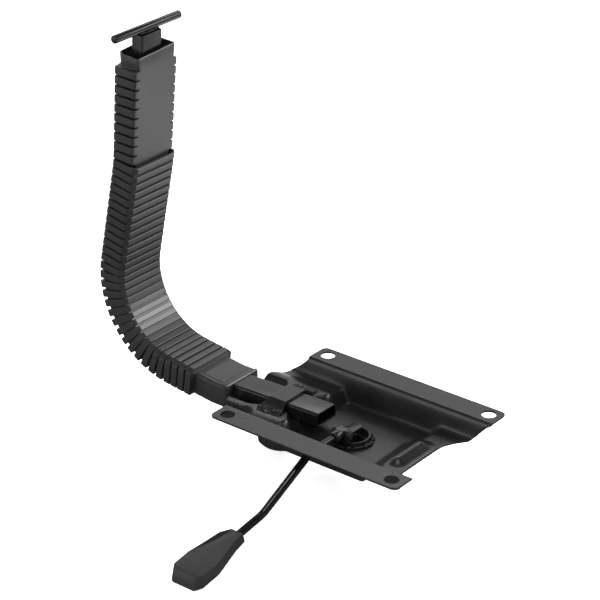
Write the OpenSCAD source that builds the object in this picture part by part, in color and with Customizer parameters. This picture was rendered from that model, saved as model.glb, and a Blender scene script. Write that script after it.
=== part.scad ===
// Seat plate mechanism of a task chair with a sliding L-shaped back bar, a ribbed
// cover over the bar, a gas lift lever and a clamp knob. Millimetres, +Z up, the
// chair faces -Y. The origin is the centre of the four seat bolts, on top of the flanges.

/* [Seat plate] */
// Length of the side flanges beyond the bolt holes
flange_end = 13.5; // [11:0.5:25]
// Width of each side flange
flange_w = 25; // [24:1:40]
// Corner radius of the flanges
flange_r = 6; // [2:0.5:10]
// Thickness of the pressed sheet
sheet_t = 2; // [1.5:0.1:2.5]
// Seat bolt spacing, side to side
bolt_x = 160; // [150:1:176]
// Seat bolt spacing, front to back
bolt_y = 200; // [190:1:210]
// Diameter of a seat bolt hole
bolt_d = 15; // [8:0.5:16]
// Depth of the pocket below the flanges
pocket_depth = 31; // [30:0.5:34]
// Depth of the front shelf below the flanges
shelf_depth = 22; // [18:0.5:25]
// Height of the stiffening ridge across the front shelf
ridge_h = 5; // [0:0.5:6]
// Depth of the valleys beside the bar's shoulders
valley_depth = 19; // [17:0.5:22]
// Rise of the bed's shoulders behind the strap
ear_rise = 2.5; // [0:0.5:4]

/* [Back bar] */
// Width of the rectangular tube
bar_w = 30; // [26:1:32]
// Height of the rectangular tube
bar_h = 15; // [12:1:18]
// Wall of the tube
bar_wall = 1.5; // [1:0.1:2.5]
// Outside corner radius of the tube
bar_r = 2.75; // [1:0.25:3.25]
// Distance of the bar's front end behind the bolt centre
bar_front = 39.5; // [36:0.5:42]
// Depth of the bar's axis below the flanges, at its front end
bar_depth = 15.3; // [14:0.1:16.5]
// Slope of the bar in the plate, falling to the rear, in degrees
bar_tilt = 1.5; // [0:0.1:2.5]
// Length of the leg in the plate
seat_leg = 121; // [118:1:130]
// Rise of the bar behind the plate, in degrees
rise_angle = 7; // [4:0.5:10]
// Length of the rising leg
rise_leg = 50.6; // [46:0.5:60]
// Radius of the main bend, at the tube's axis
bend_r = 83.5; // [75:0.5:95]
// Forward lean of the lower upright, in degrees
lower_lean = 11.2; // [6:0.2:14]
// Length of the lower upright
lower_leg = 108; // [100:1:130]
// Forward lean of the top of the upright, in degrees
top_lean = 2.6; // [0:0.2:5]
// Length of the top of the upright
top_leg = 122; // [116:1:140]
// Diameter of the cross rod
rod_d = 8.6; // [6:0.2:10]
// Length of the cross rod
rod_l = 96; // [70:1:120]

/* [Ribbed cover] */
// Width across the ribs
cover_w = 65; // [62:1:70]
// Depth across the ribs
cover_h = 31; // [29:0.5:34]
// Depth of a groove between ribs
rib_depth = 2.8; // [1.5:0.1:3]
// Width of a groove between ribs
rib_gap = 2.6; // [2:0.1:3.2]
// Wall of the cover under its grooves
cover_wall = 1.4; // [1:0.1:2]
// Chamfer of the full ribs' corners at the inside of the bend
cover_corner = 5; // [4.2:0.2:6]
// Chamfer of the cover's other corners
cover_chamfer = 1.8; // [1:0.2:2.4]
// Pitch of the full ribs, rounded to fill their length
rib_pitch = 9.3; // [8:0.1:11]
// Length of the smooth front panel
panel_l = 102; // [80:1:110]
// Width of the smooth front panel
panel_w = 49.6; // [46:0.4:52]
// Width across the side ribs beside the front panel
side_w = 62; // [60:1:66]
// Pitch of the side ribs, rounded to fill the panel's length
side_pitch = 10.2; // [9:0.1:11]
// Length of the bar that shows above the cover
bar_bare = 17.5; // [14:0.5:24]
// Width of the smooth collar
collar_w = 51; // [48:1:54]
// Height of the smooth collar
collar_h = 25.5; // [25:0.5:28]
// Length of the smooth collar
collar_l = 42; // [36:1:46]

/* [Gas lift socket and lever] */
// Distance of the socket's centre behind the bolt centre
socket_y = 7.5; // [4:0.5:9]
// Outside diameter of the socket
socket_d = 37; // [36:0.5:40]
// Diameter of the taper at its top
taper_d = 26.4; // [25:0.2:27]
// Half angle of the taper, in degrees
taper_angle = 1.5; // [1:0.1:2]
// Height of the socket above the pocket floor
socket_rise = 6; // [5:0.5:8]
// Length of the socket
socket_l = 34; // [30:1:38]
// Diameter of the open mouth above the taper
mouth_d = 34; // [32:0.5:34.5]
// Depth of the open mouth above the taper
mouth_l = 8; // [6:0.5:10]
// Diameter of the lever rod
lever_d = 8; // [7:0.5:9]
// Depth of the lever's axis below the flanges
lever_depth = 16; // [15:0.5:17]
// Reach of the lever from the bolt centre to its first bend
lever_bend_x = 67; // [64:0.5:76]
// Fall of the lever's middle run, in degrees
lever_fall = 25.4; // [15:0.2:30]
// Length between the lever's two bends
lever_run = 80; // [60:1:100]
// Fall of the handle, in degrees
handle_fall = 8.3; // [0:0.1:12]
// Bare rod between the second bend and the handle
handle_gap = 36; // [20:1:50]
// Length of the handle
handle_l = 82.5; // [70:0.5:95]
// Width of the handle at its broad end
handle_w = 37; // [30:1:42]
// Width of the handle at the rod
handle_neck = 18; // [15:0.5:22]
// Thickness of the handle
handle_t = 14.5; // [13:0.5:18]
// Lever pivot pin diameter
pivot_d = 5; // [4:0.5:5.5]

/* [Clamp] */
// Distance of the clamp behind the bar's front end
clamp_at = 55; // [53:0.5:56]
// Diameter of the clamp stud
stud_d = 10; // [8:0.5:11]
// Diameter of the clamp knob
knob_d = 54; // [40:1:60]
// Height of the clamp knob
knob_h = 22; // [16:0.5:26]
// Number of grip flutes round the knob
knob_flutes = 16; // [8:1:24]
// Width of the strap over the bar, along the bar
strap_l = 21; // [16:0.5:24]
// Middle of the strap along the bar
strap_at = 49.5; // [48:0.5:51]
// Thickness of the strap
strap_t = 2.5; // [2:0.1:3]

/* [Clearances] */
// Gap between the bar and what guides it
bar_gap = 0.3; // [0.2:0.05:0.5]
// Radial clearance of a shaft in its hole
run_gap = 0.05; // [0.02:0.01:0.1]
// Gap between still pieces that lie against each other
seat_gap = 0.02; // [0.01:0.01:0.05]

/* [Hidden] */
$fn = 64;

black_paint = [0.06, 0.06, 0.065];
black_plastic = [0.09, 0.09, 0.095];
weld_black = [0.11, 0.11, 0.12];
black_zinc = [0.16, 0.16, 0.17];

// Plate outline
flange_l = bolt_y + 2 * flange_end;
flange_out = bolt_x / 2 + flange_w / 2;
flange_in = bolt_x / 2 - flange_w / 2;
wall_top = flange_in - 3;
wall_run = 7;
floor_half = wall_top - wall_run;
wall_slope = pocket_depth / wall_run;
wall_fillet = 8;
flange_fillet = 8;

// Grooved bed that carries the bar
groove_half = bar_w / 2 + bar_gap;
crest_in = groove_half + 4.7;
crest_out = crest_in + 14;
valley_in = floor_half - 5;
strap_seat = 1.8;
bed_from = 14;
bed_rise_l = 13;
ear_from = 62;
ear_rise_l = 14;
shoulder_foot = 2.7;
shoulder_top = 13;
bed_l = 103.5;
bed_sweep = 11.5;
step_front = bar_front + bed_from;
step_rear = step_front + bed_rise_l;
ear_front = bar_front + ear_from;
ear_rear = ear_front + ear_rise_l;
rear_tip = bar_front + bed_l;
rear_wall = rear_tip - bed_sweep;

// Front shelf
ramp_rear = -36;
ramp_wall = -46;
ramp_front = -58;
ridge_y = -62;
ridge_spread = 8;
ridge_half = 32;
ridge_end = 14;
front_tip = -78;
front_wall = -93.5;
edge_curve = 1.3;
front_straight = 30;

// Functions that shape the pressed web
function smooth_step(a, b, t) = let (u = min(max((t - a) / (b - a), 0), 1)) u * u * (3 - 2 * u);
function mix(a, b, u) = a + (b - a) * u;
function soft_max(a, b, k) = let (h = max(k - abs(a - b), 0) / k) max(a, b) + h * h * k / 4;
function soft_min(a, b, k) = -soft_max(-a, -b, k);
function bar_axis_z(y) = -bar_depth - (y - bar_front) * tan(bar_tilt);
function groove_z(y) = bar_axis_z(y) - (bar_h / 2 + bar_gap) / cos(bar_tilt);
function crest_z(y) =
  bar_axis_z(y) + strap_seat / cos(bar_tilt) + ear_rise * smooth_step(ear_front, ear_rear, y);
// The shoulders draw back from the bar ahead of the strap and behind it
function drawn_back(y) =
  max(smooth_step(ear_front, ear_rear, y), 1 - smooth_step(step_rear - 2, step_rear + 8, y));
function rear_z(ax, y) =
  let (
    groove = groove_z(y),
    crest = crest_z(y),
    foot = groove_half + shoulder_foot * drawn_back(y),
    top = crest_in + shoulder_top * drawn_back(y)
  )
    ax <= top
      ? mix(groove, crest, smooth_step(foot, top, ax))
      : mix(crest, -valley_depth, smooth_step(crest_out, valley_in, ax));
// The ramp up to the front shelf starts further forward beside the walls
function ramp_from(ax) = mix(ramp_rear, ramp_wall, smooth_step(20, 50, ax));
function front_z(ax, y) =
  let (
    rise = smooth_step(-ramp_from(ax), -ramp_front, -y),
    crest = exp(-pow((y - ridge_y) / ridge_spread, 2)),
    bump = crest * (1 - smooth_step(ridge_half - ridge_end, ridge_half, ax))
  )
    mix(-pocket_depth, -shelf_depth, rise) + ridge_h * bump;
function bed_z(ax, y) = mix(front_z(ax, y), rear_z(ax, y), smooth_step(step_front, step_rear, y));
function wall_z(ax) = -pocket_depth + (ax - floor_half) * wall_slope;
function web_z(x, y) =
  let (ax = abs(x))
    soft_min(0, soft_max(bed_z(ax, y), wall_z(ax), wall_fillet), flange_fillet);

// Front and rear edges of the web, which reach furthest at the flanges and at the bar
wall_foot = floor_half + 1;
function up_wall(ax) = min(max((ax - wall_foot) / (wall_top - wall_foot), 0), 1);
function rear_edge(ax) =
  ax <= wall_foot
    ? mix(rear_tip, rear_wall, max(ax - crest_in, 0) / (wall_foot - crest_in))
    : mix(rear_wall, flange_l / 2, smooth_step(0.1, 1, up_wall(ax)));
function front_edge(ax) =
  ax <= wall_foot
    ? mix(front_tip, front_wall, pow(max(ax - front_straight, 0) / (wall_foot - front_straight), 1.5))
    : mix(front_wall, -flange_l / 2, pow(up_wall(ax), edge_curve));
rear_zone = ear_front;
front_zone = ramp_front;
function row_y(base, ax) =
  base > rear_zone
    ? mix(rear_zone, rear_edge(ax), (base - rear_zone) / (rear_tip - rear_zone))
    : base < front_zone
      ? mix(front_zone, front_edge(ax), (base - front_zone) / (front_tip - front_zone))
      : base;

// Grid lines of the web: half columns outwards from the middle, rows from front to rear
half_columns = [
  10, groove_half, (groove_half + crest_in) / 2, crest_in, mix(crest_in, crest_out, 0.25),
  mix(crest_in, crest_out, 0.5), mix(crest_in, crest_out, 0.75), crest_out,
  (crest_out + valley_in) / 2, valley_in, floor_half - 2, floor_half + 0.8, floor_half + 3,
  wall_top - 2, wall_top - 0.5, wall_top + 1, flange_in
];
columns = concat([for (i = [len(half_columns) - 1 : -1 : 0]) -half_columns[i]], [0], half_columns);
rows = concat(
  [for (i = [0 : 4]) mix(front_tip, front_zone, i / 4)],
  [for (i = [1 : 4]) mix(ramp_front, ramp_rear, i / 4)],
  [0, 0.75 * step_front],
  [for (i = [0 : 4]) mix(step_front, step_rear, i / 4)],
  [step_rear + 4, step_rear + 9, ear_front - 4],
  [for (i = [0 : 5]) mix(rear_zone, rear_tip, i / 5)]
);

// Path of the bar in the Y-Z plane: runs of [length, turn in degrees]
dip_r = 80;
top_bend_r = 150;
rise_turn = bar_tilt + rise_angle;
main_turn = 90 + lower_lean - rise_angle;
top_turn = top_lean - lower_lean;
function arc_run(radius, turn) = [radius * abs(turn) * PI / 180, turn];
bar_start = [bar_front, -bar_depth, -bar_tilt];
bar_path = [
  [seat_leg, 0], arc_run(dip_r, rise_turn), [rise_leg, 0], arc_run(bend_r, main_turn),
  [lower_leg, 0], arc_run(top_bend_r, top_turn), [top_leg, 0]
];

// Pose [y, z, heading] after moving a length and a turn on from a pose
function advance(pose, length, turn) =
  turn == 0
    ? [pose[0] + length * cos(pose[2]), pose[1] + length * sin(pose[2]), pose[2]]
    : let (radius = length * 180 / (PI * turn), heading = pose[2] + turn)
        [
          pose[0] + radius * (sin(heading) - sin(pose[2])),
          pose[1] - radius * (cos(heading) - cos(pose[2])),
          heading
        ];
function path_pose(path, pose, s, i = 0) =
  let (run = path[i])
    s <= run[0] || i == len(path) - 1
      ? advance(pose, s, run[1] * s / run[0])
      : path_pose(path, advance(pose, run[0], run[1]), s - run[0], i + 1);
function path_length(path, i = 0) = i == len(path) ? 0 : path[i][0] + path_length(path, i + 1);
bar_l = path_length(bar_path);

// Ribbed cover along the bar, measured from the bar's front end
cover_offset = 0.9;
collar_gap = 5;
cover_from = bed_l + collar_gap;
lip_l = 3;
lip_h = 0.6;
collar_offset = 3.75;
rim_l = 13.5;
rim_w = panel_w + 6.4;
rim_corner = 6;
panel_reach = 9.2;
panel_lean = 4.4;
rear_reach = 18;
rear_lean = 2.2;
side_depth = 1.8;
side_bevel = 1.4;
rib_edge = 0.4;
ribs_from = cover_from + collar_l;
rim_from = bar_l - bar_bare - rim_l;
panel_from = rim_from - panel_l;
rib_count = round((panel_from - ribs_from) / rib_pitch);
rib_step = (panel_from - ribs_from) / rib_count;
side_count = round(panel_l / side_pitch);
side_step = panel_l / side_count;

// Saddle strap in the bar's own frame
strap_in = bar_w / 2 - 0.1;
strap_out = strap_in + 0.8;
strap_knee = strap_out + 6.6;
strap_foot = strap_knee + 5.3;
strap_edge = 1.5;
strap_under = bar_h / 2 + bar_gap;
strap_top = strap_under + strap_t;
strap_flare = 3;
strap_weld_w = 4;

// Lever and its pivot
pivot_x = -16;
ear_in = 6.3;
ear_t = 2.7;
ear_head = 4.5;
ear_root = 4.5;
ear_web_t = 2;
ear_web_x = pivot_x - 3.4;
hub_half = 4;
tongue_w = 11.8;
tongue_t = 3;
tongue_tip = 10.5;
tongue_drop = 2;
sleeve_d = 11.6;
sleeve_l = 11;
pin_room = pocket_depth - socket_rise - lever_depth;
pin_head_d = min(2 * ear_head - 1, 2 * pin_room - 0.6);
pin_head_l = 2;
clip_t = 0.8;
clip_d = pin_head_d;
clip_groove = 0.45;
lever_bend_r = 30;
handle_hold = 35;
handle_up = 1.5;
slot_w = 11;
lever_lift = 7;

// Clamp stack in the bar's own frame, downwards from the bar
groove_floor = bar_h / 2 + bar_gap;
nut_top = groove_floor + sheet_t;
nut_h = 8;
nut_flats = 17;
pad_t = 3;
nose_d = 4;
nose_l = 1.5;
knob_gap = 5.5;
knob_top = nut_top + nut_h + knob_gap;
hub_d = 24;
hub_h = 3;
knob_wall = 4.5;
knob_floor = 4;
stud_in_knob = 12;

// Joining of the flanges and of swept runs
sheet_lap = 0.5;
run_lap = 0.5;
bend_swell = 1.01;

// Frame of the bar: origin at the bar's front end on its axis, +Y along the bar
module in_bar_frame() {
  translate([0, bar_front, -bar_depth]) rotate([-bar_tilt, 0, 0]) children();
}

// Maps a drawing of the Y-Z plane to its place, thick along X
module in_side_plane() {
  rotate([90, 0, 90]) children();
}

// Maps a drawing of the lever's plane, u outwards to -X and v up, to its place
module in_lever_plane() {
  translate([0, socket_y, 0]) rotate([90, 0, 180]) children();
}

// Rectangle with round corners, as exact arcs
module round_rectangle(w, h, r) {
  square([w - 2 * r, h], center = true);
  square([w, h - 2 * r], center = true);
  for (sx = [-1, 1], sy = [-1, 1])
    translate([sx * (w / 2 - r), sy * (h / 2 - r)]) circle(r);
}

// Sweeps a drawing along runs of [length, turn], from a pose [u, v, heading]. Straight
// runs reach into the bends, which are drawn a hair larger, so that all runs join.
module sweep_runs(path, pose, i = 0) {
  if (i < len(path)) {
    length = path[i][0];
    turn = path[i][1];
    if (turn == 0) {
      before = i > 0 ? run_lap : 0;
      after = i < len(path) - 1 ? run_lap : 0;
      translate([pose[0], pose[1], 0]) rotate([0, 0, pose[2]]) translate([-before, 0, 0]) rotate([0, 90, 0])
        linear_extrude(length + before + after) rotate(90) children();
    } else {
      side = turn > 0 ? 1 : -1;
      radius = length * 180 / (PI * abs(turn));
      start = turn > 0 ? pose[2] - 90 : pose[2] + 90 + turn;
      centre = [pose[0] - side * radius * sin(pose[2]), pose[1] + side * radius * cos(pose[2]), 0];
      translate(centre) rotate([0, 0, start]) rotate_extrude(angle = abs(turn))
        translate([radius, 0]) scale(bend_swell) children();
    }
    sweep_runs(path, advance(pose, length, turn), i + 1) children();
  }
}

// Closed sheet from a grid of top points, thickened downwards along its normals
function grid_normal(grid, i, j) =
  let (
    a = grid[min(i + 1, len(grid) - 1)][j] - grid[max(i - 1, 0)][j],
    b = grid[i][min(j + 1, len(grid[0]) - 1)] - grid[i][max(j - 1, 0)],
    n = cross(b, a)
  )
    j == 0 || j == len(grid[0]) - 1 ? [0, 0, 1] : n / norm(n);
module thick_sheet(grid, t) {
  m = len(grid);
  n = len(grid[0]);
  size = m * n;
  top = [for (i = [0 : m - 1], j = [0 : n - 1]) grid[i][j]];
  under = [for (i = [0 : m - 1], j = [0 : n - 1]) grid[i][j] - t * grid_normal(grid, i, j)];
  function at(i, j) = i * n + j;
  top_faces = [
    for (i = [0 : m - 2], j = [0 : n - 2])
      each [[at(i, j), at(i + 1, j), at(i + 1, j + 1)], [at(i, j), at(i + 1, j + 1), at(i, j + 1)]]
  ];
  under_faces = [for (f = top_faces) [f[2] + size, f[1] + size, f[0] + size]];
  rim = concat(
    [for (j = [0 : n - 1]) at(0, j)],
    [for (i = [1 : m - 1]) at(i, n - 1)],
    [for (j = [n - 2 : -1 : 0]) at(m - 1, j)],
    [for (i = [m - 2 : -1 : 1]) at(i, 0)]
  );
  rim_faces = [
    for (k = [0 : len(rim) - 1])
      let (a = rim[k], b = rim[(k + 1) % len(rim)])
        each [[a, b, b + size], [a, b + size, a + size]]
  ];
  polyhedron(concat(top, under), concat(top_faces, under_faces, rim_faces));
}

module flange() {
  translate([0, 0, -sheet_t]) linear_extrude(sheet_t) difference() {
    union() {
      translate([flange_in - sheet_lap, -flange_l / 2]) square([flange_w - flange_r + sheet_lap, flange_l]);
      translate([flange_in, -flange_l / 2 + flange_r]) square([flange_w, flange_l - 2 * flange_r]);
      for (s = [-1, 1])
        translate([flange_out - flange_r, s * (flange_l / 2 - flange_r)]) circle(flange_r);
    }
    for (s = [-1, 1]) translate([bolt_x / 2, s * bolt_y / 2]) circle(d = bolt_d);
  }
}

module seat_plate() {
  grid = [for (base = rows) [for (x = columns) let (y = row_y(base, abs(x))) [x, y, web_z(x, y)]]];
  slot_low = -lever_depth - lever_d / 2 - bar_gap;
  slot_high = -lever_depth + lever_d / 2 + (floor_half + pivot_x) * tan(lever_lift) + 1;
  color(black_paint) {
    for (side = [0, 1]) mirror([side, 0, 0]) flange();
    difference() {
      thick_sheet(grid, sheet_t);
      translate([0, socket_y, -pocket_depth - 2 * sheet_t])
        cylinder(d = socket_d + 4 * run_gap, h = 4 * sheet_t);
      in_bar_frame() translate([0, clamp_at, -nut_top - sheet_t])
        cylinder(d = stud_d + 4 * bar_gap, h = 3 * sheet_t);
      translate([-flange_in, socket_y - slot_w / 2, slot_low])
        cube([flange_in - floor_half + wall_run, slot_w, slot_high - slot_low]);
    }
  }
}

module saddle_strap() {
  drop = strap_top - 4.7;
  half_hat = [
    [strap_in, strap_under], [strap_knee - 1.4, drop - 2.1], [strap_knee + 1.4, strap_seat],
    [strap_foot, strap_seat], [strap_foot, strap_seat + strap_edge], [strap_knee, drop],
    [strap_out, strap_top]
  ];
  hat = concat(half_hat, [for (i = [len(half_hat) - 1 : -1 : 0]) [-half_hat[i][0], half_hat[i][1]]]);
  half = strap_l / 2;
  wide = half + strap_flare;
  side_view = [
    [-wide, 0], [wide, 0], [wide, strap_seat + strap_t], [half, strap_top], [half, strap_top + 1],
    [-half, strap_top + 1], [-half, strap_top], [-wide, strap_seat + strap_t]
  ];
  color(black_paint) in_bar_frame() translate([0, strap_at, seat_gap]) intersection() {
    rotate([90, 0, 0]) linear_extrude(3 * strap_l, center = true) polygon(hat);
    in_side_plane() linear_extrude(2 * strap_foot + 2, center = true) polygon(side_view);
  }
}

// Weld bead along the outer edge of a strap foot, on the side given by -1 or 1
module strap_weld(side) {
  half = strap_l / 2 + strap_flare - 2;
  bead = [
    [strap_foot + seat_gap, strap_seat + seat_gap],
    [strap_foot + strap_weld_w, strap_seat + seat_gap],
    [strap_foot + strap_weld_w * 0.6, strap_seat + strap_edge],
    [strap_foot + seat_gap, strap_seat + strap_edge + 0.5]
  ];
  color(weld_black) in_bar_frame() translate([0, strap_at, 0]) mirror([side < 0 ? 1 : 0, 0, 0])
    rotate([90, 0, 0]) linear_extrude(2 * half, center = true) polygon(bead);
}
module strap_weld_near() strap_weld(-1);
module strap_weld_far() strap_weld(1);

module gas_lift_socket() {
  rim_z = -pocket_depth + socket_rise;
  foot_z = rim_z - socket_l;
  mouth_z = rim_z - mouth_l;
  ear_foot = rim_z - 0.5;
  ear_y = ear_in + ear_t / 2;
  web_top = -lever_depth - ear_head - 0.7;
  taper_l = socket_l - mouth_l;
  foot_d = taper_d + 2 * taper_l * tan(taper_angle);
  color(black_paint) translate([0, socket_y, 0]) difference() {
    union() {
      difference() {
        translate([0, 0, foot_z]) cylinder(d = socket_d, h = socket_l);
        translate([0, 0, mouth_z]) cylinder(d1 = mouth_d - 2, d2 = mouth_d, h = mouth_l + 0.01);
      }
      for (s = [-1, 1]) translate([0, s * ear_y, 0]) {
        translate([pivot_x, 0, -lever_depth]) rotate([90, 0, 0])
          cylinder(r = ear_head, h = ear_t, center = true);
        translate([pivot_x - ear_head, -ear_t / 2, ear_foot])
          cube([2 * ear_head, ear_t, -lever_depth - ear_foot]);
        translate([pivot_x + ear_head - ear_root, -ear_t / 2, mouth_z - 1])
          cube([ear_root, ear_t, ear_foot - mouth_z + 2]);
      }
      translate([ear_web_x, -ear_y, ear_foot]) cube([ear_web_t, 2 * ear_y, web_top - ear_foot]);
    }
    translate([0, 0, foot_z - 0.01]) cylinder(d1 = foot_d, d2 = taper_d, h = taper_l + 0.02);
    translate([0, 0, mouth_z]) cylinder(d = taper_d, h = pocket_depth);
    translate([pivot_x, 0, -lever_depth]) rotate([90, 0, 0])
      cylinder(d = pivot_d + 2 * seat_gap, h = 2 * socket_d, center = true);
  }
}

module socket_weld_bead() {
  r = socket_d / 2;
  color(weld_black) translate([0, socket_y, -pocket_depth]) rotate_extrude()
    polygon([
      [r + seat_gap, seat_gap], [r + 4.5, seat_gap], [r + 3.4, 2], [r + 1.5, 3.4], [r + seat_gap, 3.6]
    ]);
}

module weld_nut() {
  color(black_zinc) in_bar_frame() translate([0, clamp_at, -nut_top - nut_h - seat_gap]) difference() {
    cylinder(d = nut_flats / cos(30), h = nut_h, $fn = 6);
    translate([0, 0, -1]) cylinder(d = stud_d + 2 * run_gap, h = nut_h + 2);
  }
}

module back_bar() {
  bore_start = advance(bar_start, -1, 0);
  bore_path = [
    for (i = [0 : len(bar_path) - 1])
      bar_path[i] + [(i == 0 ? 1 : 0) + (i == len(bar_path) - 1 ? 1 : 0), 0]
  ];
  color(black_paint) in_side_plane() difference() {
    sweep_runs(bar_path, bar_start) round_rectangle(bar_h, bar_w, bar_r);
    sweep_runs(bore_path, bore_start)
      round_rectangle(bar_h - 2 * bar_wall, bar_w - 2 * bar_wall, bar_r / 2);
  }
}

// Ring of eight points round the bar's path: place on the path and shift along it, half
// widths at the inside and the outside of the bend, reaches to both, and chamfers at both
function cover_ring(s, shift, front, back, inside, outside, cut, rear_cut) =
  let (
    pose = advance(path_pose(bar_path, bar_start, s), shift, 0),
    flat = [
      [front - cut, -inside], [cut - front, -inside],
      [-front, cut - inside], [-back, outside - rear_cut],
      [rear_cut - back, outside], [back - rear_cut, outside],
      [back, outside - rear_cut], [front, cut - inside]
    ]
  )
    [for (p = flat) [p[0], pose[0] + p[1] * sin(pose[2]), pose[1] - p[1] * cos(pose[2])]];

// Tube skinned over rings of equal size, closed from the last ring to the first
module ring_tube(rings) {
  count = len(rings);
  sides = len(rings[0]);
  function at(i, j) = (i % count) * sides + j % sides;
  polyhedron(
    [for (ring = rings) each ring],
    [
      for (i = [0 : count - 1], j = [0 : sides - 1])
        each [[at(i, j), at(i, j + 1), at(i + 1, j + 1)], [at(i, j), at(i + 1, j + 1), at(i + 1, j)]]
    ]
  );
}

module bellows_cover() {
  c = cover_chamfer;
  half = cover_w / 2;
  inside = cover_h / 2 - cover_offset;
  outside = cover_h / 2 + cover_offset;
  low_half = half - rib_depth;
  low_inside = inside - rib_depth;
  low_outside = outside - rib_depth;
  // The grooves are half as deep across the chamfered corners
  low_corner = cover_corner - rib_depth * (2 - sqrt(0.5));
  collar_half = collar_w / 2;
  collar_inside = collar_h / 2 - collar_offset;
  collar_outside = collar_h / 2 + collar_offset;
  lip_half = collar_half + lip_h;
  lip_inside = collar_inside + lip_h;
  lip_outside = collar_outside + lip_h;
  lip_edge = 1.5;
  mouth_half = bar_w / 2 + bar_gap;
  mouth_reach = bar_h / 2 + bar_gap;
  panel_half = panel_w / 2;
  side_half = side_w / 2;
  rim_half = rim_w / 2;
  rim_top = rim_from + rim_l;
  lip = [
    cover_ring(cover_from, 0, lip_half - lip_edge, lip_half - lip_edge, lip_inside - lip_edge,
      lip_outside - lip_edge, c / 2, c),
    cover_ring(cover_from + lip_edge, 0, lip_half, lip_half, lip_inside, lip_outside, c, c),
    cover_ring(cover_from + lip_l, 0, lip_half, lip_half, lip_inside, lip_outside, c, c),
    cover_ring(cover_from + lip_l, rib_edge, collar_half, collar_half, collar_inside, collar_outside, c, c),
    cover_ring(ribs_from, -rib_edge, collar_half, collar_half, collar_inside, collar_outside, c, c)
  ];
  // A rib is a stiff plate square to the path at its middle, with half a groove at each side
  function rib(mid, crest, foot) = [
    cover_ring(mid, -foot, low_half, low_half, low_inside, low_outside, low_corner, c),
    cover_ring(mid, -crest, half, half, inside, outside, cover_corner, c),
    cover_ring(mid, crest, half, half, inside, outside, cover_corner, c),
    cover_ring(mid, foot, low_half, low_half, low_inside, low_outside, low_corner, c)
  ];
  rib_crest = (rib_step - rib_gap) / 2;
  full_ribs = [
    for (k = [0 : rib_count - 1])
      each rib(ribs_from + (k + 0.5) * rib_step, rib_crest, rib_crest + rib_edge)
  ];
  // Beside the panel the grooves run out on the front, and the panel leans away from the bar
  function along(s) = (min(s, rim_from) - panel_from) / panel_l;
  function panel(s) = panel_reach + panel_lean * along(s);
  function rear(s) = rear_reach - rear_lean * along(s);
  function side_rib(mid, crest, foot) =
    let (low = side_half - side_depth, flush = panel(mid), back = rear(mid))
      [
        cover_ring(mid, -foot, panel_half, low, flush, back - side_depth, c / 2, c),
        cover_ring(mid, -crest, side_half, side_half, flush, back, side_bevel, c),
        cover_ring(mid, crest, side_half, side_half, flush, back, side_bevel, c),
        cover_ring(mid, foot, panel_half, low, flush, back - side_depth, c / 2, c)
      ];
  side_crest = (side_step - rib_gap) / 2;
  side_ribs = [
    for (k = [0 : side_count - 1])
      each side_rib(panel_from + (k + 0.5) * side_step, side_crest, side_crest + rib_edge)
  ];
  rim = [
    for (s = [rim_from + rib_edge, rim_top])
      cover_ring(s, 0, rim_half, rim_half, panel(s), rear(s), c, rim_corner)
  ];
  // The bore narrows beside the panel and at the collar
  rim_bore = [
    for (s = [rim_top, rim_from + 4])
      cover_ring(s, 0, rim_half - cover_wall, rim_half - cover_wall, panel(s) - cover_wall,
        rear(s) - cover_wall, c, rim_corner)
  ];
  bore_inside = low_inside - cover_wall;
  bore_outside = low_outside - cover_wall;
  panel_steps = 20;
  panel_bore = [
    for (k = [0 : panel_steps])
      let (s = mix(rim_from + 1, panel_from - 2, k / panel_steps))
        cover_ring(s, 0, panel_half - cover_wall, panel_half, max(panel(s) - cover_wall, mouth_reach),
          bore_outside, c / 2, c)
  ];
  bore_steps = 60;
  rib_bore = [
    for (k = [0 : bore_steps])
      let (s = mix(panel_from - 8, ribs_from + 4, k / bore_steps))
        cover_ring(s, 0, low_half - cover_wall, low_half - cover_wall, bore_inside, bore_outside,
          low_corner, c)
  ];
  collar_bore = [
    cover_ring(ribs_from + 1.5, 0, collar_half - cover_wall, collar_half - cover_wall, mouth_reach,
      bore_outside, c / 2, c),
    cover_ring(cover_from + lip_l, 0, collar_half - cover_wall, collar_half - cover_wall, mouth_reach,
      collar_outside - cover_wall, c / 2, c)
  ];
  mouth = [
    for (s = [cover_from + lip_l - rib_edge, cover_from])
      cover_ring(s, 0, mouth_half, mouth_half, mouth_reach, mouth_reach, bar_r / 2, bar_r / 2)
  ];
  color(black_plastic)
    ring_tube(concat(lip, full_ribs, side_ribs, rim, rim_bore, panel_bore, rib_bore, collar_bore, mouth));
}

// Place of the cross rod: on the top end of the bar
bar_end = path_pose(bar_path, bar_start, bar_l);
module at_bar_top() {
  translate([0, bar_end[0], bar_end[1]]) rotate([bar_end[2] - 90, 0, 0]) children();
}

module cross_rod() {
  bevel = 0.8;
  color(black_paint) at_bar_top() translate([0, 0, rod_d / 2 + seat_gap]) rotate([0, 90, 0])
    rotate_extrude()
      polygon([
        [0, -rod_l / 2], [rod_d / 2 - bevel, -rod_l / 2], [rod_d / 2, -rod_l / 2 + bevel],
        [rod_d / 2, rod_l / 2 - bevel], [rod_d / 2 - bevel, rod_l / 2], [0, rod_l / 2]
      ]);
}

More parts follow.
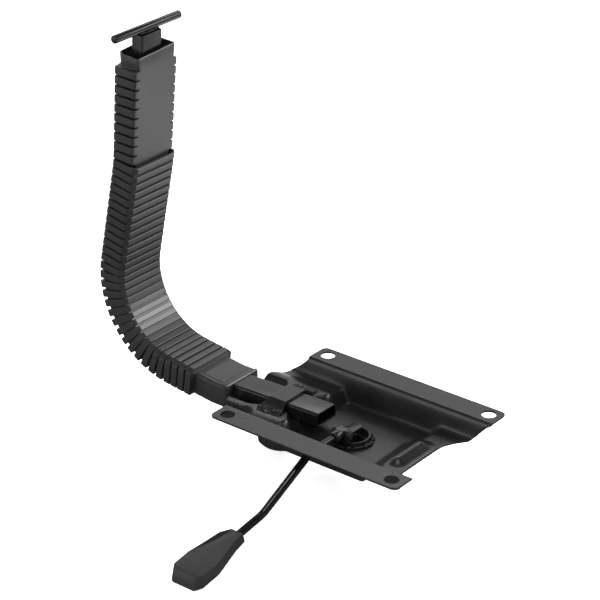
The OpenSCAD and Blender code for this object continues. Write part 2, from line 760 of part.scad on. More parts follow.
// Weld bead in the corner between the cross rod and the top of the bar
module cross_rod_weld(side) {
  bead_l = bar_w - 4;
  reach = bar_h / 2 - 0.5;
  color(weld_black) at_bar_top() mirror([0, side < 0 ? 1 : 0, 0]) difference() {
    rotate([90, 0, 90]) linear_extrude(bead_l, center = true)
      polygon([[0.6, seat_gap], [reach, seat_gap], [reach - 0.8, 1.6], [rod_d / 2, 3], [0.6, 3]]);
    translate([0, 0, rod_d / 2 + seat_gap]) rotate([0, 90, 0])
      cylinder(d = rod_d + 2 * seat_gap, h = 2 * bar_w, center = true);
  }
}
module cross_rod_weld_front() cross_rod_weld(-1);
module cross_rod_weld_rear() cross_rod_weld(1);

// Lever path in its own plane: runs of [length, turn in degrees]
lever_from = hub_half - pivot_x + seat_gap;
first_turn = -lever_fall;
second_turn = lever_fall - handle_fall;
first_tangent = lever_bend_r * tan(lever_fall / 2);
second_tangent = lever_bend_r * tan(second_turn / 2);
lever_start = [lever_from, -lever_depth, 0];
lever_path = [
  [lever_bend_x - lever_from - first_tangent, 0], arc_run(lever_bend_r, first_turn),
  [lever_run - first_tangent - second_tangent, 0], arc_run(lever_bend_r, second_turn),
  [handle_gap - second_tangent + handle_hold, 0]
];
handle_pose = path_pose(lever_path, lever_start, path_length(lever_path) - handle_hold);

module lever_rod() {
  color(black_paint) in_lever_plane() sweep_runs(lever_path, lever_start) circle(d = lever_d);
}

module lever_sleeve() {
  color(black_zinc) translate([pivot_x - hub_half - seat_gap, socket_y, -lever_depth]) rotate([0, -90, 0])
    difference() {
      cylinder(d = sleeve_d, h = sleeve_l);
      translate([0, 0, -1]) cylinder(d = lever_d + 2 * seat_gap, h = sleeve_l + 2);
    }
}

module release_tongue() {
  top = -lever_depth - tongue_drop;
  color(black_zinc) translate([0, socket_y, 0]) difference() {
    union() {
      translate([pivot_x - hub_half, -tongue_w / 2, -lever_depth - ear_head])
        cube([2 * hub_half, tongue_w, 2 * ear_head]);
      translate([pivot_x, -tongue_w / 2, top - tongue_t]) cube([tongue_tip - pivot_x, tongue_w, tongue_t]);
    }
    translate([pivot_x, 0, -lever_depth]) rotate([90, 0, 0])
      cylinder(d = pivot_d + 2 * run_gap, h = 2 * tongue_w, center = true);
  }
}

// Profile of the pin from its head, along the pin
ear_out = ear_in + ear_t;
pin_l = 2 * ear_out + 2.5;
clip_at = 2 * ear_out + 0.3;
module lever_pivot_pin() {
  r = pivot_d / 2;
  color(black_zinc) translate([pivot_x, socket_y - ear_out - seat_gap, -lever_depth]) rotate([-90, 0, 0])
    rotate_extrude()
      polygon([
        [0, -pin_head_l], [pin_head_d / 2, -pin_head_l], [pin_head_d / 2, 0], [r, 0], [r, clip_at],
        [r - clip_groove, clip_at], [r - clip_groove, clip_at + clip_t + 0.1], [r, clip_at + clip_t + 0.1],
        [r, pin_l], [0, pin_l]
      ]);
}

module pivot_clip() {
  color(black_zinc) translate([pivot_x, socket_y - ear_out + clip_at, -lever_depth]) rotate([-90, 0, 0])
    translate([0, 0, 0.03]) linear_extrude(clip_t) difference() {
      circle(d = clip_d);
      circle(d = pivot_d - 2 * clip_groove + 2 * seat_gap);
      translate([0, -pivot_d / 2 + clip_groove]) square([clip_d, pivot_d - 2 * clip_groove]);
    }
}

module lever_handle() {
  neck = handle_neck / 2;
  wide = handle_w / 2;
  top = handle_t / 2 + handle_up;
  under = handle_t / 2 - handle_up;
  plan = [
    [0, -neck + 2], [2, -neck], [0.2 * handle_l, -neck - 1], [0.62 * handle_l, -wide],
    [0.9 * handle_l, -wide], [handle_l, -wide + 5], [handle_l, wide - 5], [0.9 * handle_l, wide],
    [0.62 * handle_l, wide], [0.2 * handle_l, neck + 1], [2, neck], [0, neck - 2]
  ];
  side_view = [
    [0, -under + 0.5], [0.3 * handle_l, -under], [handle_l, -under], [handle_l, -under + 3],
    [handle_l - 6, top], [0.3 * handle_l, top], [3, top - 1.5], [0, top - 4]
  ];
  color(black_plastic) in_lever_plane()
    translate([handle_pose[0], handle_pose[1], 0]) rotate([0, 0, handle_pose[2]]) difference() {
      intersection() {
        rotate([90, 0, 0]) linear_extrude(2 * handle_t, center = true) polygon(plan);
        linear_extrude(2 * handle_w, center = true) polygon(side_view);
      }
      translate([-1, 0, 0]) rotate([0, 90, 0])
        cylinder(d = lever_d + 2 * seat_gap, h = handle_hold + 1 + seat_gap);
    }
}

// The knob is cored out from above round its hub, as a moulded knob is
module clamp_knob() {
  r = knob_d / 2;
  flute = 2.4;
  core = knob_floor - knob_h;
  color(black_plastic) in_bar_frame() translate([0, clamp_at, -knob_top]) difference() {
    rotate_extrude()
      polygon([
        [0, 0], [hub_d / 2, 0], [hub_d / 2, core], [r - knob_wall, core], [r - knob_wall, -hub_h],
        [r - 2, -hub_h], [r, -hub_h - 2], [r, -knob_h + 3], [r - 3, -knob_h], [0, -knob_h]
      ]);
    for (k = [0 : knob_flutes - 1]) rotate([0, 0, k * 360 / knob_flutes]) translate([r + 1, 0, -knob_h - 1])
      cylinder(r = flute, h = knob_h + 2, $fn = 24);
    translate([0, 0, -stud_in_knob - seat_gap]) cylinder(d = stud_d + 2 * seat_gap, h = stud_in_knob + 1);
  }
}

module clamp_stud() {
  tip = bar_h / 2 + pad_t;
  shank = knob_top + stud_in_knob - tip;
  color(black_zinc) in_bar_frame() translate([0, clamp_at, -tip - seat_gap]) {
    translate([0, 0, -shank]) cylinder(d = stud_d, h = shank);
    cylinder(d = nose_d, h = nose_l);
  }
}

module clamp_pad() {
  color(black_zinc) in_bar_frame() translate([0, clamp_at, -bar_h / 2 - pad_t]) difference() {
    cylinder(d = stud_d - 2 * bar_gap, h = pad_t - seat_gap);
    translate([0, 0, -1]) cylinder(d = nose_d + 2 * run_gap, h = nose_l + 1 + run_gap);
  }
}

seat_plate();
saddle_strap();
strap_weld_near();
strap_weld_far();
gas_lift_socket();
socket_weld_bead();
weld_nut();
back_bar();
bellows_cover();
cross_rod();
cross_rod_weld_front();
cross_rod_weld_rear();
lever_rod();
lever_sleeve();
release_tongue();
lever_pivot_pin();
pivot_clip();
lever_handle();
clamp_knob();
clamp_stud();
clamp_pad();
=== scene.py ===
# Seat mechanism of a task chair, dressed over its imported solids. Pieces are modelled in
# millimetres in the part's frame and brought to metres when they are placed.
import math

import bpy
from mathutils import Matrix, Vector, noise


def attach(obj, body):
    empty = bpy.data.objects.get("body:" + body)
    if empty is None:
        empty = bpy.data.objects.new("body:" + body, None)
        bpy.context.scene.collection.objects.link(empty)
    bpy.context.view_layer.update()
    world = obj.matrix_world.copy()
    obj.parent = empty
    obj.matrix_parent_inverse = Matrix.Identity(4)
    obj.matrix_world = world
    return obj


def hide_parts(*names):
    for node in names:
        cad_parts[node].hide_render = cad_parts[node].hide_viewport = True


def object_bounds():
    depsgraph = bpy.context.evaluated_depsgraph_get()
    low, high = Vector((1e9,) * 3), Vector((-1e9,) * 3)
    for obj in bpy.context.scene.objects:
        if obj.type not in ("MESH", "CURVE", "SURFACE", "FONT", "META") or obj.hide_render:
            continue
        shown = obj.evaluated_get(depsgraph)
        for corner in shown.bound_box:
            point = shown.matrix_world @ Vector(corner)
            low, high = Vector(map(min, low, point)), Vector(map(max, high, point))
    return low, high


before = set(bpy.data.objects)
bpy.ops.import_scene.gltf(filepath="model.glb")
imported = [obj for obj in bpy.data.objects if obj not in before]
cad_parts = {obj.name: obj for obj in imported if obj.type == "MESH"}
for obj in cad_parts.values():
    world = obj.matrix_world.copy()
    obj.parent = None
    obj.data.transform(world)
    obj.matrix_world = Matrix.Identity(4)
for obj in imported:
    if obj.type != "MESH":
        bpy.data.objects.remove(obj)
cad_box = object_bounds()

MM = 0.001

# Seat plate
BOLT_X, BOLT_Y, BOLT_D = 160, 200, 15
FLANGE_L, FLANGE_W, FLANGE_R = BOLT_Y + 27, 25, 6
SHEET_T = 2
POCKET, SHELF, RIDGE, VALLEY = 31, 22, 5, 19
EAR_RISE = 2.5
FLANGE_OUT = BOLT_X / 2 + FLANGE_W / 2
FLANGE_IN = BOLT_X / 2 - FLANGE_W / 2
WALL_TOP = FLANGE_IN - 3
WALL_RUN = 7
FLOOR_HALF = WALL_TOP - WALL_RUN
WALL_FOOT = FLOOR_HALF + 1
WALL_FILLET, FLANGE_FILLET = 8, 8

# Back bar and the bed under it
BAR_W, BAR_H, BAR_WALL, BAR_R = 30, 15, 1.5, 2.75
BAR_FRONT, BAR_DEPTH, BAR_TILT = 39.5, 15.3, 1.5
BAR_GAP = 0.3
GROOVE_HALF = BAR_W / 2 + BAR_GAP
CREST_IN = GROOVE_HALF + 4.7
CREST_OUT = CREST_IN + 14
VALLEY_IN = FLOOR_HALF - 5
STRAP_SEAT = 1.8
STEP_FRONT = BAR_FRONT + 14
STEP_REAR = STEP_FRONT + 13
EAR_FRONT = BAR_FRONT + 62
EAR_REAR = EAR_FRONT + 14
SHOULDER_FOOT, SHOULDER_TOP = 2.7, 13
BED_L = 103.5
REAR_TIP = BAR_FRONT + BED_L
REAR_WALL = REAR_TIP - 11.5
RAMP_REAR, RAMP_WALL, RAMP_FRONT = -36, -46, -58
RIDGE_Y, RIDGE_SPREAD, RIDGE_HALF, RIDGE_END = -62, 8, 32, 14
FRONT_TIP, FRONT_WALL, FRONT_STRAIGHT = -78, -93.5, 30

# Runs of the bar's path: length and turn in degrees
RISE_ANGLE, LOWER_LEAN, TOP_LEAN = 7, 11.2, 2.6


def arc_run(radius, turn):
    return (radius * abs(turn) * math.pi / 180, turn)


BAR_PATH = [
    (121, 0), arc_run(80, BAR_TILT + RISE_ANGLE), (50.6, 0), arc_run(83.5, 90 + LOWER_LEAN - RISE_ANGLE),
    (108, 0), arc_run(150, TOP_LEAN - LOWER_LEAN), (122, 0),
]
BAR_START = (BAR_FRONT, -BAR_DEPTH, -BAR_TILT)
BAR_L = sum(length for length, turn in BAR_PATH)

# Cover along the bar
COVER_W, COVER_H, COVER_OFFSET = 65, 31, 0.9
RIB_DEPTH, RIB_GAP, FRONT_GAP, COVER_WALL = 2.8, 1.9, 3.1, 1.4
CORNER_CUT, REAR_CUT = 5, 1.8
RIB_PITCH, SIDE_PITCH = 9.3, 10.2
PANEL_L, PANEL_W, PANEL_REACH, PANEL_LEAN = 102, 49.6, 9.2, 4.4
SIDE_W, SIDE_DEPTH, SIDE_BEVEL = 62, 1.8, 1.4
REAR_REACH, REAR_LEAN = 18, 2.2
COLLAR_W, COLLAR_H, COLLAR_L, COLLAR_OFFSET = 51, 25.5, 42, 3.75
COVER_FROM = BED_L + 5
LIP_L, LIP_H = 3, 0.6
RIM_L, RIM_W, RIM_CUT, RIM_SKEW = 13.5, 56, 6, 0.05
RIBS_FROM = COVER_FROM + COLLAR_L
RIM_FROM = BAR_L - 17.5 - RIM_L
PANEL_FROM = RIM_FROM - PANEL_L
RIB_COUNT = round((PANEL_FROM - RIBS_FROM) / RIB_PITCH)
RIB_STEP = (PANEL_FROM - RIBS_FROM) / RIB_COUNT
SIDE_COUNT = round(PANEL_L / SIDE_PITCH)
SIDE_STEP = PANEL_L / SIDE_COUNT

# Strap, socket and lever
STRAP_AT, STRAP_L, STRAP_T, STRAP_FLARE = 49.5, 21, 2.5, 3
STRAP_UNDER = BAR_H / 2 + BAR_GAP
STRAP_TOP = STRAP_UNDER + STRAP_T
STRAP_OUT = BAR_W / 2 + 0.7
STRAP_KNEE = STRAP_OUT + 6.6
STRAP_FOOT = STRAP_KNEE + 5.3
STRAP_DROP = STRAP_TOP - 4.7
SOCKET_Y, SOCKET_D = 7.5, 37
LEVER_D, LEVER_DEPTH, LEVER_BEND_X, LEVER_FALL, LEVER_RUN, LEVER_BEND_R = 8, 16, 67, 25.4, 80, 30
HANDLE_FALL, HANDLE_GAP, HANDLE_HOLD = 8.3, 36, 35
SLOT_W = 11
PIVOT_X = -16
HUB_HALF = 4
HANDLE_L, HANDLE_W, HANDLE_NECK, HANDLE_T, HANDLE_UP = 82.5, 37, 18, 14.5, 1.5
CLAMP_AT = 55
ROD_D = 8.6


# Selection and operators

def clear_selection():
    active = bpy.context.view_layer.objects.active
    if active and active.mode != "OBJECT":
        bpy.ops.object.mode_set(mode="OBJECT")
    bpy.ops.object.select_all(action="DESELECT")


def work_on(piece):
    clear_selection()
    piece.select_set(True)
    bpy.context.view_layer.objects.active = piece


def start_piece(name):
    piece = bpy.context.view_layer.objects.active
    piece.name = name
    piece.data.name = name
    return piece


def apply_modifier(piece, kind, **values):
    modifier = piece.modifiers.new(kind.title(), kind)
    for key, value in values.items():
        setattr(modifier, key, value)
    work_on(piece)
    bpy.ops.object.modifier_apply(modifier=modifier.name)


def round_edges(piece, width, segments, angle):
    """Rounds the edges that turn by more than the angle."""
    apply_modifier(
        piece, "BEVEL", width=width, segments=segments, limit_method="ANGLE",
        angle_limit=math.radians(angle))


def edit(piece, element="FACE", test=None):
    """Goes into edit mode with the elements selected that pass the test, or with all."""
    work_on(piece)
    bpy.ops.object.mode_set(mode="EDIT")
    bpy.ops.mesh.select_mode(type=element)
    bpy.ops.mesh.select_all(action="SELECT" if test is None else "DESELECT")
    if test is None:
        return
    bpy.ops.object.mode_set(mode="OBJECT")
    mesh = piece.data
    if element == "FACE":
        for face in mesh.polygons:
            face.select = bool(test(face.center, face.normal))
    elif element == "EDGE":
        for edge in mesh.edges:
            a, b = (mesh.vertices[i].co for i in edge.vertices)
            edge.select = bool(test(a, b))
    else:
        for vertex in mesh.vertices:
            vertex.select = bool(test(vertex.co))
    bpy.ops.object.mode_set(mode="EDIT")


def leave_edit():
    bpy.ops.object.mode_set(mode="OBJECT")


def tidy_mesh(piece, merge=0.001):
    edit(piece, "VERT")
    bpy.ops.mesh.remove_doubles(threshold=merge)
    bpy.ops.mesh.normals_make_consistent(inside=False)
    leave_edit()


def smooth(piece, angle=35):
    work_on(piece)
    bpy.ops.object.shade_smooth_by_angle(angle=math.radians(angle))


def place(piece, placement=Matrix.Identity(4)):
    """Brings a piece from millimetres and its own frame to its place in metres."""
    piece.matrix_world = Matrix.Scale(MM, 4) @ placement
    work_on(piece)
    bpy.ops.object.transform_apply(location=True, rotation=True, scale=True)


def dress(piece, material, body, slot, *nodes):
    piece.data.materials.clear()
    piece.data.materials.append(material)
    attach(piece, body)
    if nodes:
        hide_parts(*nodes)


def cut_away(piece, cutter):
    apply_modifier(piece, "BOOLEAN", object=cutter, operation="DIFFERENCE", solver="EXACT")
    bpy.data.objects.remove(cutter)


def join_pieces(pieces, name):
    clear_selection()
    for piece in pieces:
        piece.select_set(True)
    bpy.context.view_layer.objects.active = pieces[0]
    bpy.ops.object.join()
    return start_piece(name)


def rounded_copy(node_name, name, width, segments=2, angle=35):
    """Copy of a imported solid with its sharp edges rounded, in metres."""
    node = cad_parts[node_name]
    piece = node.copy()
    piece.data = node.data.copy()
    bpy.context.scene.collection.objects.link(piece)
    piece.parent = None
    piece.matrix_world = node.matrix_world.copy()
    work_on(piece)
    start_piece(name)
    bpy.ops.object.transform_apply(location=True, rotation=True, scale=True)
    edit(piece, "VERT")
    bpy.ops.mesh.remove_doubles(threshold=1e-6)
    bpy.ops.mesh.dissolve_limited(angle_limit=math.radians(0.5))
    leave_edit()
    round_edges(piece, width * MM, segments, angle)
    smooth(piece, angle)
    return piece


# Frames and paths

BAR_PLACE = Matrix.Translation((0, BAR_FRONT, -BAR_DEPTH))
BAR_FRAME = BAR_PLACE @ Matrix.Rotation(math.radians(-BAR_TILT), 4, "X")
SIDE_PLANE = Matrix(((0, 0, 1, 0), (1, 0, 0, 0), (0, 1, 0, 0), (0, 0, 0, 1)))
LEVER_PLANE = Matrix(((-1, 0, 0, 0), (0, 0, 1, SOCKET_Y), (0, 1, 0, 0), (0, 0, 0, 1)))


def advance(pose, length, turn):
    y, z, heading = pose
    a = math.radians(heading)
    if abs(turn) < 1e-9:
        return (y + length * math.cos(a), z + length * math.sin(a), heading)
    radius = length * 180 / (math.pi * turn)
    b = math.radians(heading + turn)
    along = radius * (math.sin(b) - math.sin(a))
    up = radius * (math.cos(a) - math.cos(b))
    return (y + along, z + up, heading + turn)


def path_pose(path, pose, s):
    for length, turn in path[:-1]:
        if s <= length:
            return advance(pose, s, turn * s / length)
        pose = advance(pose, length, turn)
        s -= length
    length, turn = path[-1]
    return advance(pose, s, turn * s / length)


# Shape of the pressed web

def mix(a, b, u):
    return a + (b - a) * u


def smooth_step(a, b, t):
    u = min(max((t - a) / (b - a), 0.0), 1.0)
    return u * u * (3 - 2 * u)


def soft_max(a, b, k):
    h = max(k - abs(a - b), 0) / k
    return max(a, b) + h * h * k / 4


def bar_axis_z(y):
    return -BAR_DEPTH - (y - BAR_FRONT) * math.tan(math.radians(BAR_TILT))


def drawn_back(y):
    return max(smooth_step(EAR_FRONT, EAR_REAR, y), 1 - smooth_step(STEP_REAR - 2, STEP_REAR + 8, y))


def rear_z(ax, y):
    slant = math.cos(math.radians(BAR_TILT))
    groove = bar_axis_z(y) - (BAR_H / 2 + BAR_GAP) / slant
    crest = bar_axis_z(y) + STRAP_SEAT / slant + EAR_RISE * smooth_step(EAR_FRONT, EAR_REAR, y)
    foot = GROOVE_HALF + SHOULDER_FOOT * drawn_back(y)
    top = CREST_IN + SHOULDER_TOP * drawn_back(y)
    if ax <= top:
        return mix(groove, crest, smooth_step(foot, top, ax))
    return mix(crest, -VALLEY, smooth_step(CREST_OUT, VALLEY_IN, ax))


def front_z(ax, y):
    ramp_from = mix(RAMP_REAR, RAMP_WALL, smooth_step(20, 50, ax))
    rise = smooth_step(-ramp_from, -RAMP_FRONT, -y)
    crest = math.exp(-((y - RIDGE_Y) / RIDGE_SPREAD) ** 2)
    bump = crest * (1 - smooth_step(RIDGE_HALF - RIDGE_END, RIDGE_HALF, ax))
    return mix(-POCKET, -SHELF, rise) + RIDGE * bump


def web_z(x, y):
    ax = abs(x)
    bed = mix(front_z(ax, y), rear_z(ax, y), smooth_step(STEP_FRONT, STEP_REAR, y))
    wall = -POCKET + (ax - FLOOR_HALF) * POCKET / WALL_RUN
    return -soft_max(0, -soft_max(bed, wall, WALL_FILLET), FLANGE_FILLET)


def flange_end(ax):
    over = max(ax - (FLANGE_OUT - FLANGE_R), 0)
    return FLANGE_L / 2 - FLANGE_R + math.sqrt(max(FLANGE_R ** 2 - over ** 2, 0))


def up_wall(ax):
    return min(max((ax - WALL_FOOT) / (WALL_TOP - WALL_FOOT), 0), 1)


def rear_edge(ax):
    if ax <= WALL_FOOT:
        return mix(REAR_TIP, REAR_WALL, max(ax - CREST_IN, 0) / (WALL_FOOT - CREST_IN))
    if ax <= FLANGE_IN:
        return mix(REAR_WALL, FLANGE_L / 2, smooth_step(0.1, 1, up_wall(ax)))
    return flange_end(ax)


def front_edge(ax):
    if ax <= WALL_FOOT:
        out = max(ax - FRONT_STRAIGHT, 0) / (WALL_FOOT - FRONT_STRAIGHT)
        return mix(FRONT_TIP, FRONT_WALL, out ** 1.5)
    if ax <= FLANGE_IN:
        return mix(FRONT_WALL, -FLANGE_L / 2, up_wall(ax) ** 1.3)
    return -flange_end(ax)


def row_y(base, ax):
    if base > EAR_FRONT:
        return mix(EAR_FRONT, rear_edge(ax), (base - EAR_FRONT) / (REAR_TIP - EAR_FRONT))
    if base < RAMP_FRONT:
        return mix(RAMP_FRONT, front_edge(ax), (base - RAMP_FRONT) / (FRONT_TIP - RAMP_FRONT))
    return base


# Camera at the photograph's viewing angle: its focal length is in pixels of the frame

FRAME_PIXELS, FOCAL_PIXELS, SENSOR_W = 600, 2350.4, 36
CAMERA_AT = (-1.6110, -1.2106, 1.1258)
CAMERA_DIP, CAMERA_TURN = 26.416, -51.451


def set_camera():
    camera = bpy.data.cameras.new("camera")
    holder = bpy.data.objects.new("camera", camera)
    bpy.context.scene.collection.objects.link(holder)
    camera.sensor_width = SENSOR_W
    camera.lens = FOCAL_PIXELS / FRAME_PIXELS * SENSOR_W
    camera.clip_end = 50
    holder.location = CAMERA_AT
    holder.rotation_euler = (math.radians(90 - CAMERA_DIP), 0, math.radians(CAMERA_TURN))
    bpy.context.scene.camera = holder


# Materials

def add_node(tree, kind, **values):
    node = tree.nodes.new(kind)
    for key, value in values.items():
        setattr(node, key, value)
    return node


def make_grain_group():
    """Two sizes of grain: a height for bump, and a slow mottle for colour and roughness."""
    group = bpy.data.node_groups.new("surface_grain", "ShaderNodeTree")
    for name, default in (("Grain Scale", 900.0), ("Mottle Scale", 25.0), ("Mottle Amount", 0.5)):
        socket = group.interface.new_socket(name, in_out="INPUT", socket_type="NodeSocketFloat")
        socket.default_value = default
    for name in ("Height", "Mottle"):
        group.interface.new_socket(name, in_out="OUTPUT", socket_type="NodeSocketFloat")
    inputs = add_node(group, "NodeGroupInput")
    outputs = add_node(group, "NodeGroupOutput")
    place_node = add_node(group, "ShaderNodeTexCoord")
    grain = add_node(group, "ShaderNodeTexNoise")
    grain.inputs["Detail"].default_value = 3
    mottle = add_node(group, "ShaderNodeTexNoise")
    mottle.inputs["Detail"].default_value = 4
    scale = add_node(group, "ShaderNodeMath", operation="MULTIPLY")
    link = group.links.new
    link(place_node.outputs["Object"], grain.inputs["Vector"])
    link(place_node.outputs["Object"], mottle.inputs["Vector"])
    link(inputs.outputs["Grain Scale"], grain.inputs["Scale"])
    link(inputs.outputs["Mottle Scale"], mottle.inputs["Scale"])
    link(mottle.outputs["Fac"], scale.inputs[0])
    link(inputs.outputs["Mottle Amount"], scale.inputs[1])
    link(grain.outputs["Fac"], outputs.inputs["Height"])
    link(scale.outputs["Value"], outputs.inputs["Mottle"])
    return group


GRAIN = make_grain_group()
GRAIN_DEPTH, ROUGH_DRIFT = 0.0002, 0.05


def make_finish(name, dark, light, rough, gloss, grain_scale, bump, metallic=0.0, mottle_scale=25.0):
    """A black finish: colour and roughness drift a little over the surface, with a fine grain."""
    material = bpy.data.materials.new(name)
    material.use_nodes = True
    tree = material.node_tree
    shader = tree.nodes["Principled BSDF"]
    shader.inputs["Metallic"].default_value = metallic
    shader.inputs["Specular IOR Level"].default_value = gloss
    grain = add_node(tree, "ShaderNodeGroup", node_tree=GRAIN)
    grain.inputs["Grain Scale"].default_value = grain_scale
    grain.inputs["Mottle Scale"].default_value = mottle_scale
    grain.inputs["Mottle Amount"].default_value = 1.0
    colour = add_node(tree, "ShaderNodeMix", data_type="RGBA")
    colour.inputs[6].default_value = (*dark, 1)
    colour.inputs[7].default_value = (*light, 1)
    roughness = add_node(tree, "ShaderNodeMapRange")
    roughness.inputs["From Min"].default_value = 0.3
    roughness.inputs["From Max"].default_value = 0.7
    roughness.inputs["To Min"].default_value = rough - ROUGH_DRIFT
    roughness.inputs["To Max"].default_value = rough + ROUGH_DRIFT
    relief = add_node(tree, "ShaderNodeBump")
    relief.inputs["Strength"].default_value = bump
    relief.inputs["Distance"].default_value = GRAIN_DEPTH
    link = tree.links.new
    link(grain.outputs["Mottle"], colour.inputs[0])
    link(colour.outputs[2], shader.inputs["Base Color"])
    link(grain.outputs["Mottle"], roughness.inputs["Value"])
    link(roughness.outputs["Result"], shader.inputs["Roughness"])
    link(grain.outputs["Height"], relief.inputs["Height"])
    link(relief.outputs["Normal"], shader.inputs["Normal"])
    return material


PLATE_PAINT = make_finish(
    "plate_paint", (0.005, 0.005, 0.0056), (0.010, 0.010, 0.011),
    rough=0.30, gloss=0.5, grain_scale=700, bump=0.10)
BAR_PAINT = make_finish(
    "bar_paint", (0.004, 0.004, 0.0045), (0.008, 0.008, 0.009),
    rough=0.24, gloss=0.5, grain_scale=600, bump=0.06)
LEVER_PAINT = make_finish(
    "lever_paint", (0.008, 0.008, 0.009), (0.016, 0.016, 0.018),
    rough=0.20, gloss=0.5, grain_scale=600, bump=0.05)
# Darker copy of the lever paint for the rod, with less gloss: its darker colour is painted shade, for the rod
# lying in shade under the bar and plate.
SHADED_ROD_PAINT = make_finish(
    "shaded_rod_paint", (0.003, 0.003, 0.0034), (0.006, 0.006, 0.007),
    rough=0.22, gloss=0.35, grain_scale=600, bump=0.05)
WELD_PAINT = make_finish(
    "weld_paint", (0.004, 0.004, 0.0045), (0.012, 0.012, 0.013),
    rough=0.17, gloss=0.5, grain_scale=500, bump=0.7)
DARK_ZINC = make_finish(
    "dark_zinc", (0.030, 0.030, 0.033), (0.055, 0.055, 0.060),
    rough=0.30, gloss=0.5, grain_scale=800, bump=0.08, metallic=0.6)
COVER_PLASTIC = make_finish(
    "cover_plastic", (0.009, 0.009, 0.0098), (0.017, 0.017, 0.0185),
    rough=0.38, gloss=0.5, grain_scale=1400, bump=0.12)
GRIP_PLASTIC = make_finish(
    "grip_plastic", (0.010, 0.010, 0.011), (0.020, 0.020, 0.022),
    rough=0.48, gloss=0.5, grain_scale=1100, bump=0.30)


# Pressed plate

PLATE_ROWS = 150
EDGE_STEP, FLAT_STEP, WEB_STEP = 1.0, 4.0, 1.2
STUD_HOLE_D = 11.2
SLOT_H, SLOT_MID = 14.4, -13.1


def round_cutter(sides, diameter, depth, spot):
    clear_selection()
    bpy.ops.mesh.primitive_cylinder_add(vertices=sides, radius=diameter / 2, depth=depth, location=spot)
    return start_piece("round_cutter")


def make_seat_plate():
    columns = []
    x = -FLANGE_OUT
    while x < FLANGE_OUT - 0.01:
        columns.append(x)
        ax = abs(x + 0.01)
        x += EDGE_STEP if ax > FLANGE_OUT - FLANGE_R else FLAT_STEP if ax > FLANGE_IN + 2 else WEB_STEP
    columns.append(FLANGE_OUT)
    bases = [mix(FRONT_TIP, REAR_TIP, j / (PLATE_ROWS - 1)) for j in range(PLATE_ROWS)]
    clear_selection()
    bpy.ops.mesh.primitive_grid_add(x_subdivisions=len(columns) - 1, y_subdivisions=PLATE_ROWS - 1, size=2)
    plate = start_piece("pressed_seat_plate")
    for vertex in plate.data.vertices:
        i = round((vertex.co.x + 1) / 2 * (len(columns) - 1))
        j = round((vertex.co.y + 1) / 2 * (PLATE_ROWS - 1))
        x = columns[i]
        y = row_y(bases[j], abs(x))
        vertex.co = (x, y, web_z(x, y))
    apply_modifier(plate, "SOLIDIFY", thickness=SHEET_T, offset=-1)
    cutters = []
    for sx in (-1, 1):
        for sy in (-1, 1):
            cutters.append(round_cutter(48, BOLT_D, 20, (sx * BOLT_X / 2, sy * BOLT_Y / 2, 0)))
    cutters.append(round_cutter(64, SOCKET_D + 0.2, 12, (0, SOCKET_Y, -POCKET)))
    cutters.append(round_cutter(32, STUD_HOLE_D, 8, BAR_FRAME @ Vector((0, CLAMP_AT, -9))))
    clear_selection()
    bpy.ops.mesh.primitive_cube_add(
        size=1, location=(-FLOOR_HALF - 1, SOCKET_Y, SLOT_MID), scale=(18, SLOT_W, SLOT_H))
    cutters.append(start_piece("slot_cutter"))
    cut_away(plate, join_pieces(cutters, "plate_cutter"))
    round_edges(plate, width=0.35, segments=2, angle=60)
    place(plate)
    smooth(plate, 50)
    dress(plate, PLATE_PAINT, "plate", "black_paint", "seat_plate")


# Strap over the bar

def rounded_path(points, radius, steps):
    """Open path with an arc of that radius at each inner corner."""
    out = [points[0]]
    for before, corner, after in zip(points, points[1:], points[2:]):
        a = (before - corner).normalized()
        b = (after - corner).normalized()
        half = a.angle(b) / 2
        shorter = min((before - corner).length, (after - corner).length)
        reach = min(radius / math.tan(half), 0.48 * shorter)
        for k in range(steps + 1):
            u = k / steps
            out.append(corner + a * reach * (1 - u) ** 2 + b * reach * u ** 2)
    out.append(points[-1])
    return out


def make_strap():
    side = [
        Vector((STRAP_OUT, 0, STRAP_TOP)), Vector((STRAP_KNEE, 0, STRAP_DROP)),
        Vector((STRAP_FOOT, 0, STRAP_SEAT + 1.5)),
    ]
    hat = [Vector((-point.x, 0, point.z)) for point in reversed(side)] + side
    path = rounded_path(hat, radius=2.6, steps=5)
    across = 9
    clear_selection()
    bpy.ops.mesh.primitive_grid_add(x_subdivisions=len(path) - 1, y_subdivisions=across - 1, size=2)
    strap = start_piece("saddle_strap_sheet")
    for vertex in strap.data.vertices:
        point = path[round((vertex.co.x + 1) / 2 * (len(path) - 1))]
        flare = STRAP_FLARE * (1 - smooth_step(STRAP_SEAT + 2, STRAP_TOP, point.z))
        vertex.co = (point.x, vertex.co.y * (STRAP_L / 2 + flare), point.z)
    apply_modifier(strap, "SOLIDIFY", thickness=STRAP_T, offset=-1)
    round_edges(strap, width=0.5, segments=3, angle=50)
    place(strap, BAR_FRAME @ Matrix.Translation((0, STRAP_AT, 0.02)))
    smooth(strap, 40)
    dress(strap, PLATE_PAINT, "plate", "black_paint", "saddle_strap")


# Weld beads: chains of drops run together, with spatter round them

WELD_VOXEL, LUMP_H, LUMP_SCALE = 0.3, 0.9, 0.7
STRAP_WELD_ROWS = ((-2.2, 1.6), (0.8, 0.9), (3.8, -0.2))
STRAP_WELD_DROPS, SOCKET_WELD_DROPS, ROD_WELD_DROPS = 13, 52, 12
ROD_WELD_HALF = 11.5


